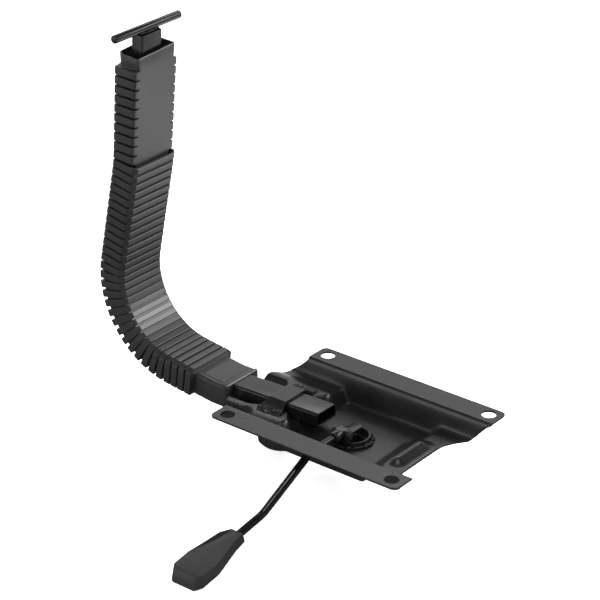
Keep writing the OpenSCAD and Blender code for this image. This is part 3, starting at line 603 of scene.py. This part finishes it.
def make_weld(name, drops, placement, body, *nodes):
    """Drops are (place, radius): they are melted into one lumpy bead."""
    clear_selection()
    bpy.ops.mesh.primitive_ico_sphere_add(subdivisions=2, radius=1)
    first = start_piece("drop")
    balls = []
    for spot, radius in drops:
        ball = first.copy()
        ball.data = first.data.copy()
        ball.data.transform(Matrix.Translation(spot) @ Matrix.Scale(radius, 4))
        bpy.context.scene.collection.objects.link(ball)
        balls.append(ball)
    bpy.data.objects.remove(first)
    bead = join_pieces(balls, name)
    apply_modifier(bead, "REMESH", mode="VOXEL", voxel_size=WELD_VOXEL)
    for vertex in bead.data.vertices:
        vertex.co += vertex.normal * LUMP_H * noise.noise(vertex.co * LUMP_SCALE)
    apply_modifier(bead, "SMOOTH", factor=0.5, iterations=1)
    place(bead, placement)
    work_on(bead)
    bpy.ops.object.shade_smooth()
    dress(bead, WELD_PAINT, body, "weld", *nodes)


def wander(seed, k):
    """A number from -1 to 1 that is the same at each run."""
    return noise.noise(Vector((seed * 7.3 + k * 1.71, seed * 3.1, k * 0.63))) * 1.8


def bead_along(points, radius, seed, spatter=0, spread=4.0):
    drops = []
    for k, spot in enumerate(points):
        push = Vector((wander(seed, k), wander(seed + 1, k), 0.4 * wander(seed + 2, k))) * 0.5
        drops.append((spot + push, radius * (1 + 0.4 * wander(seed + 3, k))))
    for k in range(spatter):
        spot = points[(k * 5) % len(points)]
        push = Vector((wander(seed + 4, k), wander(seed + 5, k), 0)) * spread
        drops.append((spot + push + Vector((0, 0, -0.7)), 0.55 + 0.25 * abs(wander(seed + 6, k))))
    return drops


def make_strap_welds():
    half = STRAP_L / 2 + STRAP_FLARE - 1
    spot = BAR_FRAME @ Matrix.Translation((0, STRAP_AT, 0))
    for side, end, seed in ((-1, "near", 2), (1, "far", 9)):
        points = []
        for out, up in STRAP_WELD_ROWS:
            for k in range(STRAP_WELD_DROPS):
                along = mix(-half, half, k / (STRAP_WELD_DROPS - 1))
                points.append(Vector((side * (STRAP_FOOT + out), along, STRAP_SEAT + up)))
        drops = bead_along(points, 1.7, seed, spatter=26, spread=5.0)
        make_weld("strap_weld_bead_" + end, drops, spot, "plate", "strap_weld_" + end)


def make_socket_weld():
    points = []
    r = SOCKET_D / 2 + 2.0
    for k in range(SOCKET_WELD_DROPS):
        a = 2 * math.pi * k / SOCKET_WELD_DROPS
        points.append(Vector((r * math.cos(a), SOCKET_Y + r * math.sin(a), -POCKET + 1.2)))
    drops = bead_along(points, 2.0, 21, spatter=16, spread=3.0)
    make_weld("socket_weld_ring", drops, Matrix.Identity(4), "plate", "socket_weld_bead")


# Bent tube and rods

def section_frame(pose):
    """Frame of a section square to a path in its own plane: X across the plane, Y along the normal."""
    a = math.radians(pose[2])
    return Matrix((
        (0, -math.sin(a), -math.cos(a), pose[0]),
        (0, math.cos(a), -math.sin(a), pose[1]),
        (1, 0, 0, 0),
        (0, 0, 0, 1),
    ))


def set_at(piece, placement):
    piece.matrix_world = placement
    work_on(piece)
    bpy.ops.object.transform_apply(location=True, rotation=True, scale=True)


# Blender's spin turns the other way round
SPIN_SIGN = -1


def run_section(piece, path, pose):
    """Extrudes and spins an open section along the runs of a path in the piece's own plane."""
    set_at(piece, section_frame(pose))
    edit(piece, "EDGE")
    for length, turn in path:
        a = math.radians(pose[2])
        if turn == 0:
            step = (length * math.cos(a), length * math.sin(a), 0)
            bpy.ops.mesh.extrude_edges_move(TRANSFORM_OT_translate={"value": step})
        else:
            radius = length * 180 / (math.pi * turn)
            centre = (pose[0] - radius * math.sin(a), pose[1] + radius * math.cos(a), 0)
            bpy.ops.mesh.spin(
                steps=max(4, round(abs(turn) / 2)), angle=SPIN_SIGN * math.radians(turn),
                center=centre, axis=(0, 0, 1))
        pose = advance(pose, length, turn)
    leave_edit()


def make_back_bar():
    clear_selection()
    bpy.ops.mesh.primitive_plane_add(size=1)
    bar = start_piece("bent_back_tube")
    edit(bar, "VERT")
    bpy.ops.transform.resize(value=(BAR_W, BAR_H, 1))
    bpy.ops.mesh.bevel(offset=BAR_R, segments=5, affect="VERTICES")
    bpy.ops.mesh.select_all(action="SELECT")
    bpy.ops.mesh.delete(type="ONLY_FACE")
    leave_edit()
    run_section(bar, BAR_PATH, BAR_START)
    tidy_mesh(bar)
    apply_modifier(bar, "SOLIDIFY", thickness=BAR_WALL, offset=-1, use_even_offset=True)
    round_edges(bar, width=0.5, segments=3, angle=60)
    place(bar, SIDE_PLANE)
    smooth(bar, 40)
    dress(bar, BAR_PAINT, "bar", "bar_paint", "back_bar")


LEVER_FROM = HUB_HALF - PIVOT_X + 0.05
SECOND_TURN = LEVER_FALL - HANDLE_FALL
FIRST_TANGENT = LEVER_BEND_R * math.tan(math.radians(LEVER_FALL / 2))
SECOND_TANGENT = LEVER_BEND_R * math.tan(math.radians(SECOND_TURN / 2))
LEVER_START = (LEVER_FROM, -LEVER_DEPTH, 0)
LEVER_PATH = [
    (LEVER_BEND_X - LEVER_FROM - FIRST_TANGENT, 0), arc_run(LEVER_BEND_R, -LEVER_FALL),
    (LEVER_RUN - FIRST_TANGENT - SECOND_TANGENT, 0), arc_run(LEVER_BEND_R, SECOND_TURN),
    (HANDLE_GAP - SECOND_TANGENT + HANDLE_HOLD, 0),
]
HANDLE_POSE = path_pose(LEVER_PATH, LEVER_START, sum(length for length, turn in LEVER_PATH) - HANDLE_HOLD)


def make_lever_rod():
    clear_selection()
    bpy.ops.mesh.primitive_circle_add(vertices=32, radius=LEVER_D / 2)
    rod = start_piece("bent_lever_rod")
    run_section(rod, LEVER_PATH, LEVER_START)
    edit(rod, "VERT")
    bpy.ops.mesh.fill_holes(sides=0)
    leave_edit()
    tidy_mesh(rod)
    round_edges(rod, width=0.4, segments=2, angle=60)
    place(rod, LEVER_PLANE)
    smooth(rod, 40)
    dress(rod, SHADED_ROD_PAINT, "lever", "lever_paint", "lever_rod")


# Handle: a plan outline drawn up in steps, with its end leaning and its edges rounded

HANDLE_STEP, END_LEAN, END_SHARE, TOP_TAPER = 3, 6, 0.85, 0.97


def make_handle():
    neck, wide = HANDLE_NECK / 2, HANDLE_W / 2
    side = [
        (0, neck - 1), (0.2 * HANDLE_L, neck + 1), (0.62 * HANDLE_L, wide), (0.9 * HANDLE_L, wide),
        (HANDLE_L, wide - 5),
    ]
    plan = side + [(u, -w) for u, w in reversed(side)]
    top = HANDLE_T / 2 + HANDLE_UP
    under = HANDLE_T / 2 - HANDLE_UP
    clear_selection()
    bpy.ops.mesh.primitive_circle_add(vertices=len(plan), radius=1, fill_type="NGON")
    handle = start_piece("lever_handle_grip")
    for vertex, (u, w) in zip(handle.data.vertices, plan):
        vertex.co = (u, w, -under)
    edit(handle, "FACE")
    for rise in (HANDLE_STEP, HANDLE_T - HANDLE_STEP):
        bpy.ops.mesh.extrude_region_move(TRANSFORM_OT_translate={"value": (0, 0, rise)})
    leave_edit()
    for vertex in handle.data.vertices:
        if vertex.co.z > top - 0.1:
            if vertex.co.x > END_SHARE * HANDLE_L:
                vertex.co.x -= END_LEAN * (vertex.co.x / HANDLE_L - END_SHARE) / (1 - END_SHARE)
            if vertex.co.x < 1:
                vertex.co.z -= HANDLE_STEP
                vertex.co.x += 1
            vertex.co.y *= TOP_TAPER
    tidy_mesh(handle)
    round_edges(handle, width=2.2, segments=4, angle=28)
    along = Matrix(((1, 0, 0, 0), (0, 0, 1, 0), (0, -1, 0, 0), (0, 0, 0, 1)))
    x, y, heading = HANDLE_POSE
    spot = Matrix.Translation((x, y, 0)) @ Matrix.Rotation(math.radians(heading), 4, "Z")
    place(handle, LEVER_PLANE @ spot @ along)
    smooth(handle, 40)
    dress(handle, GRIP_PLASTIC, "lever", "grip_plastic", "lever_handle")


# Ribbed cover: rounded rings along the bar's path, closed over a bore

def cover_loop(
        s, shift, front, back, inside, outside, front_cut, back_cut, lift=0.0, edge=0.6, skew=0.0, pinch=1.0):
    """Ring of the cover at a place on the path: half widths at its front and back, and reaches either way."""
    y, z, heading = path_pose(BAR_PATH, BAR_START, s)
    a = math.radians(heading)
    inner = front - 6
    corners = [
        (front - front_cut, -inside, edge), (inner, -inside, 0), (inner - 0.5, -inside - lift, 0),
        (0.5 - inner, -inside - lift, 0), (-inner, -inside, 0), (front_cut - front, -inside, edge),
        (-front, front_cut - inside, edge), (-back, outside - back_cut, edge),
        (back_cut - back, outside, edge), (back - back_cut, outside, edge),
        (back, outside - back_cut, edge), (front, front_cut - inside, edge),
    ]
    loop = []
    for k, (x, v, radius) in enumerate(corners):
        ahead = shift * (pinch if k < 6 else 1)
        spots = [Vector((x, v))]
        if radius:
            corner = Vector((x, v))
            before = Vector(corners[k - 1][:2]) - corner
            after = Vector(corners[(k + 1) % len(corners)][:2]) - corner
            reach = min(radius, 0.45 * before.length, 0.45 * after.length)
            a_end = corner + before.normalized() * reach
            b_end = corner + after.normalized() * reach
            spots = [a_end, corner * 0.5 + (a_end + b_end) * 0.25, b_end]
        for spot in spots:
            on = ahead + skew * spot.x
            loop.append(Vector((
                spot.x,
                y + spot.y * math.sin(a) + on * math.cos(a),
                z - spot.y * math.cos(a) + on * math.sin(a),
            )))
    return loop


def rib_profile(step, gap, round_r, depth):
    """Places along a rib and how far each lies under its crest."""
    crest = (step - gap) / 2
    side = [(-crest - 0.15, depth)]
    for angle in (90, 60, 30, 0):
        b = math.radians(angle)
        side.append((-crest + round_r * (1 - math.sin(b)), round_r * (1 - math.cos(b))))
    side.append((-crest + round_r + 0.4, 0))
    return side + [(-shift, drop) for shift, drop in reversed(side)]


def panel_reach(s):
    return PANEL_REACH + PANEL_LEAN * (min(s, RIM_FROM) - PANEL_FROM) / PANEL_L


def rear_reach(s):
    return REAR_REACH - REAR_LEAN * (min(s, RIM_FROM) - PANEL_FROM) / PANEL_L


def cover_skin():
    """Rings of the cover's outside, from its lip to its rim."""
    half = COVER_W / 2
    inside = COVER_H / 2 - COVER_OFFSET
    outside = COVER_H / 2 + COVER_OFFSET
    pinch = (RIB_STEP - FRONT_GAP) / (RIB_STEP - RIB_GAP)
    collar_half = COLLAR_W / 2
    collar_inside = COLLAR_H / 2 - COLLAR_OFFSET
    collar_outside = COLLAR_H / 2 + COLLAR_OFFSET
    rings = []
    lip = ((0, -1.5), (0.3, -0.5), (0.9, 0.2), (1.6, LIP_H), (2.6, LIP_H), (3.0, 0.3), (3.4, 0))
    for shift, grow in lip:
        rings.append(cover_loop(
            COVER_FROM + shift, 0, collar_half + grow, collar_half + grow, collar_inside + grow,
            collar_outside + grow, 2, 2, 0, 1.2))
    raised = (
        (8, 0), (8.5, 0.5), (20, 0.5), (30, 0.5), (COLLAR_L - 6.5, 0.5), (COLLAR_L - 6, 0),
        (COLLAR_L - 0.2, 0),
    )
    for s, lift in raised:
        rings.append(cover_loop(
            COVER_FROM + s, 0, collar_half, collar_half, collar_inside, collar_outside, 2, 2, lift, 1.2))
    for k in range(RIB_COUNT):
        mid = RIBS_FROM + (k + 0.5) * RIB_STEP
        for shift, drop in rib_profile(RIB_STEP, RIB_GAP, 0.8, RIB_DEPTH):
            cut = mix(CORNER_CUT, 0.2, drop / RIB_DEPTH)
            rings.append(cover_loop(
                mid, shift, half - drop, half - drop, inside - drop, outside - drop, cut, REAR_CUT,
                pinch=pinch))
    step_half, step_reach = half - 3.6, inside - 2
    step_in = ((-1.6, step_half, step_reach), (-7, step_half, step_reach), (-7, PANEL_W / 2, PANEL_REACH))
    for s, wide, reach in step_in:
        rings.append(cover_loop(
            PANEL_FROM + s, 0, wide, half - RIB_DEPTH, reach, outside - RIB_DEPTH, 1.0, REAR_CUT, 0, 0.3))
    for k in range(SIDE_COUNT):
        mid = PANEL_FROM + (k + 0.5) * SIDE_STEP
        for shift, drop in rib_profile(SIDE_STEP, RIB_GAP, 0.9, RIB_DEPTH):
            share = drop / RIB_DEPTH
            sunk = SIDE_DEPTH * share
            rings.append(cover_loop(
                mid, shift, mix(SIDE_W / 2, PANEL_W / 2, share), SIDE_W / 2 - sunk,
                panel_reach(mid + shift), rear_reach(mid + shift) - sunk, mix(SIDE_BEVEL, 0.6, share),
                REAR_CUT))
    for s in (0.4, 4, RIM_L - 1, RIM_L - 0.3, RIM_L):
        sink = max(s - RIM_L + 1, 0) * 0.5
        wide = RIM_W / 2 - 1.4 * (1 - s / RIM_L) - sink
        rings.append(cover_loop(
            RIM_FROM + s, 0, wide, wide, panel_reach(RIM_FROM) - sink, rear_reach(RIM_FROM) - sink,
            1.6, RIM_CUT, edge=0.8, skew=RIM_SKEW * s / RIM_L))
    return rings


def cover_bore():
    """Rings of the cover's bore, from its rim back to its mouth."""
    wide = COVER_W / 2 - RIB_DEPTH - COVER_WALL
    inside = COVER_H / 2 - COVER_OFFSET - RIB_DEPTH - COVER_WALL
    outside = COVER_H / 2 + COVER_OFFSET - RIB_DEPTH - COVER_WALL
    rim_half = RIM_W / 2 - COVER_WALL
    mouth_half, mouth_reach = BAR_W / 2 + BAR_GAP, BAR_H / 2 + BAR_GAP
    collar_half = COLLAR_W / 2 - COVER_WALL
    rings = []
    for s, skew in ((RIM_FROM + RIM_L, RIM_SKEW), (RIM_FROM + 4, 0)):
        rings.append(cover_loop(
            s, 0, rim_half, rim_half, panel_reach(s) - COVER_WALL, rear_reach(s) - COVER_WALL, 1.8, RIM_CUT,
            0, 0.3, skew))
    for k in range(21):
        s = mix(RIM_FROM + 1, PANEL_FROM - 9, k / 20)
        reach = max(panel_reach(s) - COVER_WALL, mouth_reach)
        rings.append(cover_loop(
            s, 0, PANEL_W / 2 - COVER_WALL, PANEL_W / 2, reach, outside, 0.9, 1.8, 0, 0.3))
    for k in range(61):
        s = mix(PANEL_FROM - 15, RIBS_FROM + 4, k / 60)
        rings.append(cover_loop(s, 0, wide, wide, inside, outside, 1.4, 1.8, 0, 0.3))
    collar_reach = COLLAR_H / 2 + COLLAR_OFFSET - COVER_WALL
    for s, reach in ((RIBS_FROM + 1.5, outside), (COVER_FROM + LIP_L, collar_reach)):
        rings.append(cover_loop(s, 0, collar_half, collar_half, mouth_reach, reach, 0.9, 1.8, 0, 0.3))
    for s in (COVER_FROM + LIP_L - 0.4, COVER_FROM):
        rings.append(cover_loop(s, 0, mouth_half, mouth_half, mouth_reach, mouth_reach, 1, 1, 0, 0.3))
    return rings


def make_cover():
    rings = cover_skin() + cover_bore()
    sides = len(rings[0])
    clear_selection()
    bpy.ops.mesh.primitive_grid_add(x_subdivisions=len(rings), y_subdivisions=sides, size=2)
    cover = start_piece("ribbed_cover")
    for vertex in cover.data.vertices:
        i = round((vertex.co.x + 1) / 2 * len(rings)) % len(rings)
        j = round((vertex.co.y + 1) / 2 * sides) % sides
        vertex.co = rings[i][j]
    tidy_mesh(cover, 0.0005)
    place(cover)
    smooth(cover, 42)
    dress(cover, COVER_PLASTIC, "bar", "cover_plastic", "bellows_cover")


# Cross rod on the top end of the bar

def make_cross_rod():
    y, z, heading = path_pose(BAR_PATH, BAR_START, BAR_L)
    top = Matrix.Translation((0, y, z)) @ Matrix.Rotation(math.radians(heading - 90), 4, "X")
    rod = rounded_copy("cross_rod", "cross_rod_round", 0.4)
    dress(rod, BAR_PAINT, "bar", "bar_paint", "cross_rod")
    for side, end, seed in ((-1, "front", 31), (1, "rear", 37)):
        points = []
        for k in range(ROD_WELD_DROPS):
            across = mix(-ROD_WELD_HALF, ROD_WELD_HALF, k / (ROD_WELD_DROPS - 1))
            points.append(Vector((across, side * ROD_D / 2, 1.2)))
        make_weld("rod_weld_" + end, bead_along(points, 1.3, seed), top, "bar", "cross_rod_weld_" + end)


set_camera()
make_seat_plate()
make_strap()
make_strap_welds()
make_socket_weld()
make_back_bar()
make_cover()
make_cross_rod()
make_lever_rod()
make_handle()
ROUNDED = (
    ("gas_lift_socket", "lift_socket", 0.5, PLATE_PAINT, "plate", "black_paint"),
    ("weld_nut", "hex_weld_nut", 0.5, DARK_ZINC, "plate", "black_zinc"),
    ("release_tongue", "release_tongue_bar", 0.7, LEVER_PAINT, "lever", "lever_paint"),
    ("lever_sleeve", "lever_sleeve_ring", 0.6, LEVER_PAINT, "lever", "lever_paint"),
    ("lever_pivot_pin", "pivot_pin", 0.4, DARK_ZINC, "plate", "black_zinc"),
    ("pivot_clip", "pivot_ring_clip", 0.15, DARK_ZINC, "plate", "black_zinc"),
    ("clamp_knob", "fluted_knob", 0.7, GRIP_PLASTIC, "knob", "grip_plastic"),
    ("clamp_stud", "knob_stud", 0.4, DARK_ZINC, "knob", "black_zinc"),
    ("clamp_pad", "pressure_pad", 0.3, DARK_ZINC, "pad", "black_zinc"),
)
for node_name, name, width, material, body, slot in ROUNDED:
    piece = rounded_copy(node_name, name, width)
    dress(piece, material, body, slot, node_name)


# Floor, light and background

BACKDROP_SIDE = (0.786, 0.618, 0.0)
# Centre of the painted shade that the floor shows in reflections.
FLOOR_SHADE_CENTRE = (-0.8, 0.1, 0)
OPEN_LIGHT, FLOOR_GLOW = 0.55, 0.7


def smooth_ramp(tree, start, end, low, high):
    """Node that goes smoothly from low to high as its value goes from start to end."""
    ramp = add_node(tree, "ShaderNodeMapRange", interpolation_type="SMOOTHSTEP")
    for name, value in (("From Min", start), ("From Max", end), ("To Min", low), ("To Max", high)):
        ramp.inputs[name].default_value = value
    return ramp


def set_world():
    """White where the camera looks, and in reflections a lit backdrop with dark above it."""
    world = bpy.data.worlds.new("studio")
    bpy.context.scene.world = world
    world.use_nodes = True
    tree = world.node_tree
    back = tree.nodes["Background"]
    path = add_node(tree, "ShaderNodeLightPath")
    seen = add_node(tree, "ShaderNodeMath", operation="MAXIMUM")
    around = add_node(tree, "ShaderNodeTexCoord")
    toward = add_node(tree, "ShaderNodeVectorMath", operation="DOT_PRODUCT")
    toward.inputs[1].default_value = BACKDROP_SIDE
    sweep = smooth_ramp(tree, 0.40, 0.82, 0.30, 0.84)
    height = add_node(tree, "ShaderNodeSeparateXYZ")
    above = smooth_ramp(tree, 0.60, 0.74, 1.0, 0.12)
    dimmed = add_node(tree, "ShaderNodeMath", operation="MULTIPLY")
    mirrored = add_node(tree, "ShaderNodeMix", data_type="FLOAT")
    mirrored.inputs[2].default_value = OPEN_LIGHT
    level = add_node(tree, "ShaderNodeMix", data_type="FLOAT")
    level.inputs[3].default_value = 1.0
    link = tree.links.new
    link(around.outputs["Generated"], toward.inputs[0])
    link(toward.outputs["Value"], sweep.inputs["Value"])
    link(path.outputs["Is Glossy Ray"], mirrored.inputs[0])
    link(around.outputs["Generated"], height.inputs[0])
    link(height.outputs["Z"], above.inputs["Value"])
    link(sweep.outputs["Result"], dimmed.inputs[0])
    link(above.outputs["Result"], dimmed.inputs[1])
    link(dimmed.outputs["Value"], mirrored.inputs[3])
    link(path.outputs["Is Camera Ray"], seen.inputs[0])
    link(path.outputs["Is Transmission Ray"], seen.inputs[1])
    link(seen.outputs["Value"], level.inputs[0])
    link(mirrored.outputs[0], level.inputs[2])
    link(level.outputs[0], back.inputs["Strength"])
    back.inputs["Color"].default_value = (1, 1, 1, 1)


def make_floor():
    """Floor that is white to the camera; in reflections it carries painted shade: dark on the left, and
    greyer far off.
    """
    clear_selection()
    low = cad_box[0][2] - 0.0005
    bpy.ops.mesh.primitive_plane_add(size=8, location=(0, 0, low))
    floor = start_piece("studio_floor")
    material = bpy.data.materials.new("floor_white")
    material.use_nodes = True
    tree = material.node_tree
    shader = tree.nodes["Principled BSDF"]
    shader.inputs["Roughness"].default_value = 0.9
    shader.inputs["Specular IOR Level"].default_value = 0.0
    shader.inputs["Emission Color"].default_value = (1, 1, 1, 1)
    path = add_node(tree, "ShaderNodeLightPath")
    around = add_node(tree, "ShaderNodeTexCoord")
    away = add_node(tree, "ShaderNodeVectorMath", operation="DISTANCE")
    away.inputs[1].default_value = FLOOR_SHADE_CENTRE
    # Painted shade in reflections: the floor is darkened round the shade centre and dimmed far off.
    spread = smooth_ramp(tree, 0.93, 1.25, 0.15, 1.0)
    shade = add_node(tree, "ShaderNodeMix", data_type="FLOAT")
    shade.inputs[2].default_value = 1.0
    tone = add_node(tree, "ShaderNodeMix", data_type="RGBA")
    tone.inputs[6].default_value = (0, 0, 0, 1)
    tone.inputs[7].default_value = (0.86, 0.86, 0.86, 1)
    seen = add_node(tree, "ShaderNodeMath", operation="MAXIMUM")
    far = smooth_ramp(tree, 1.3, 1.6, 1.0, 0.35)
    mirrored = add_node(tree, "ShaderNodeMath", operation="MULTIPLY")
    glow = add_node(tree, "ShaderNodeMath", operation="MULTIPLY")
    glow.inputs[1].default_value = FLOOR_GLOW
    link = tree.links.new
    link(around.outputs["Object"], away.inputs[0])
    link(away.outputs["Value"], spread.inputs["Value"])
    link(path.outputs["Is Glossy Ray"], shade.inputs[0])
    link(spread.outputs["Result"], mirrored.inputs[0])
    link(far.outputs["Result"], mirrored.inputs[1])
    link(mirrored.outputs["Value"], shade.inputs[3])
    link(shade.outputs[0], tone.inputs[0])
    link(tone.outputs[2], shader.inputs["Base Color"])
    link(path.outputs["Is Camera Ray"], seen.inputs[0])
    link(path.outputs["Is Transmission Ray"], seen.inputs[1])
    link(away.outputs["Value"], far.inputs["Value"])
    link(seen.outputs["Value"], glow.inputs[0])
    link(glow.outputs["Value"], shader.inputs["Emission Strength"])
    floor.data.materials.append(material)


def add_softbox(name, direction, distance, width, height, level, mirrored=True, only=()):
    """Area lamp that faces the object, as bright as its mirror image; it may light some pieces only."""
    lamp = bpy.data.lights.new(name, "AREA")
    lamp.shape = "RECTANGLE"
    lamp.size = width
    lamp.size_y = height
    lamp.energy = level * math.pi * width * height
    holder = bpy.data.objects.new(name, lamp)
    bpy.context.scene.collection.objects.link(holder)
    aim = Vector((0, 0.08, 0.08))
    away = Vector(direction).normalized()
    holder.location = aim + away * distance
    holder.rotation_euler = away.to_track_quat("Z", "Y").to_euler()
    holder.visible_camera = False
    holder.visible_glossy = mirrored
    if only:
        lit = bpy.data.collections.new(name)
        for piece_name in only:
            lit.objects.link(bpy.data.objects[piece_name])
        holder.light_linking.receiver_collection = lit


set_world()
make_floor()
KEY_SIDE = (0.70, -0.52, 0.47)
add_softbox("key_softbox", KEY_SIDE, 2.4, 1.3, 0.7, 5.0)
add_softbox("cover_softbox", KEY_SIDE, 2.4, 1.3, 0.7, 31.0, only=("ribbed_cover", "studio_floor"))
add_softbox("top_softbox", (0.25, 0.1, 1.0), 2.2, 2.0, 2.0, 1.6, mirrored=False)
add_softbox("fill_softbox", (-0.80, -0.05, 0.60), 2.2, 1.4, 1.4, 4.0, mirrored=False)
add_softbox("left_softbox", (-0.83, 0.45, 0.12), 2.4, 1.6, 0.6, 2.5)
add_softbox("back_strip", (0.52, 0.55, 0.66), 2.2, 1.8, 0.2, 5.0)
add_softbox("small_top", (-0.05, -0.1, 1.0), 2.0, 0.55, 0.45, 15.0)
bpy.context.scene.view_settings.view_transform = "Standard"
